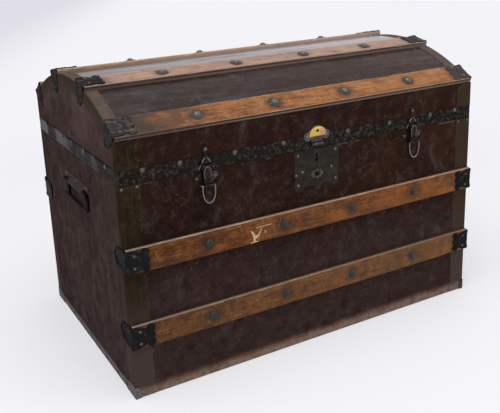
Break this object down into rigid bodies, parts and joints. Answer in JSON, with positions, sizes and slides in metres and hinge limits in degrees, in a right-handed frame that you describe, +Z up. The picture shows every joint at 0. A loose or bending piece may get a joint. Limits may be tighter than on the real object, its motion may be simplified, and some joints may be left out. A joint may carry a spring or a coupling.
{
  "type": "dome top trunk",
  "caption": "Canvas-covered wooden travelling trunk with a domed lid, oak slats with iron end caps, a front lock, draw latches and drop handles on its ends.",
  "frame": {"origin": "on the floor under the middle of the trunk", "axes": "+Z up, +Y from the lock towards the hinges, +X to the right-hand end as seen from the lock"},
  "size_m": [0.827, 0.5222, 0.5726],
  "materials": {
    "painted_canvas": "dark reddish brown oil paint over canvas, scuffed",
    "pine_boards": "bare sawn pine",
    "oak_slats": "varnished oak, worn along the edges",
    "black_iron": "black enamel on sheet iron, dented and chipped",
    "edge_binding": "olive brown fibre strip, tacked",
    "grey_sheet": "dull grey zinc sheet",
    "lining_paper": "aged pale paper",
    "lock_bronze": "dark browned brass",
    "bright_brass": "rubbed brass",
    "latch_iron": "worn black enamel on pressed iron",
    "steel_wire": "bare dull steel wire",
    "rivet_iron": "dark domed heads"
  },
  "bodies": {
    "box": {"body_front_board": "pine_boards", "body_back_board": "pine_boards", "body_left_end_board": "pine_boards", "body_right_end_board": "pine_boards", "body_bottom_board": "pine_boards", "body_canvas": "painted_canvas", "body_lining": "lining_paper", "body_corner_bindings": "edge_binding", "corner_shoes": "grey_sheet", "bottom_end_strips": "grey_sheet", "body_slat_front_upper": "oak_slats", "body_slat_front_lower": "oak_slats", "body_slat_back_upper": "oak_slats", "body_slat_caps_left": "black_iron", "body_slat_caps_right": "black_iron", "body_slat_rivets": "rivet_iron", "body_small_rivets": "rivet_iron", "lock_plate": "lock_bronze", "keyhole_boss": "lock_bronze", "lock_case": "latch_iron", "latch_left_keeper": "latch_iron", "latch_right_keeper": "latch_iron", "hinge_left_lower_leaf": "latch_iron", "hinge_right_lower_leaf": "latch_iron", "hinge_pins": "steel_wire", "handle_left_plate": "latch_iron", "handle_right_plate": "latch_iron"},
    "lid": {"lid_front_rail": "pine_boards", "lid_back_rail": "pine_boards", "lid_left_end_board": "pine_boards", "lid_right_end_board": "pine_boards", "lid_staves": "pine_boards", "lid_canvas": "painted_canvas", "lid_lining": "lining_paper", "lid_left_edge_binding": "edge_binding", "lid_right_edge_binding": "edge_binding", "rim_band": "black_iron", "lid_slat_front_lower": "oak_slats", "lid_slat_front_upper": "oak_slats", "lid_slat_back_upper": "oak_slats", "lid_slat_back_lower": "oak_slats", "lid_slat_caps_left": "black_iron", "lid_slat_caps_right": "black_iron", "lid_slat_studs": "rivet_iron", "lid_small_rivets": "rivet_iron", "rim_tacks": "rivet_iron", "hasp_plate": "bright_brass", "latch_left_bracket": "latch_iron", "latch_right_bracket": "latch_iron", "hinge_left_upper_leaf": "latch_iron", "hinge_right_upper_leaf": "latch_iron", "latch_pins": "steel_wire"},
    "left_latch": {"latch_left_lever": "latch_iron"},
    "right_latch": {"latch_right_lever": "latch_iron"},
    "left_latch_bail": {"latch_left_bail": "steel_wire"},
    "right_latch_bail": {"latch_right_bail": "steel_wire"},
    "left_handle": {"handle_left_bail": "black_iron"},
    "right_handle": {"handle_right_bail": "black_iron"},
    "lock_bolt": {"lock_bolt": "steel_wire"}
  },
  "joints": [
    {"name": "lid_hinge", "type": "hinge", "parent": "box", "child": "lid", "pos_m": [0, 0.2532, 0.4125], "axis": [-1, 0, 0], "range_deg": [0, 100]},
    {"name": "left_latch_pivot", "type": "hinge", "parent": "lid", "child": "left_latch", "pos_m": [-0.24, -0.2538, 0.42], "axis": [-1, 0, 0], "range_deg": [0, 120]},
    {"name": "right_latch_pivot", "type": "hinge", "parent": "lid", "child": "right_latch", "pos_m": [0.24, -0.2538, 0.42], "axis": [-1, 0, 0], "range_deg": [0, 120]},
    {"name": "left_bail_swing", "type": "hinge", "parent": "left_latch", "child": "left_latch_bail", "pos_m": [-0.24, -0.2577, 0.385], "axis": [-1, 0, 0], "range_deg": [0, 100]},
    {"name": "right_bail_swing", "type": "hinge", "parent": "right_latch", "child": "right_latch_bail", "pos_m": [0.24, -0.2577, 0.385], "axis": [-1, 0, 0], "range_deg": [0, 100]},
    {"name": "left_handle_swing", "type": "hinge", "parent": "box", "child": "left_handle", "pos_m": [-0.4095, 0, 0.3446], "axis": [0, 1, 0], "range_deg": [0, 95]},
    {"name": "right_handle_swing", "type": "hinge", "parent": "box", "child": "right_handle", "pos_m": [0.4095, 0, 0.3446], "axis": [0, -1, 0], "range_deg": [0, 95]},
    {"name": "lock_bolt_slide", "type": "slide", "parent": "box", "child": "lock_bolt", "axis": [-1, 0, 0], "range_m": [0, 0.008]}
  ]
}
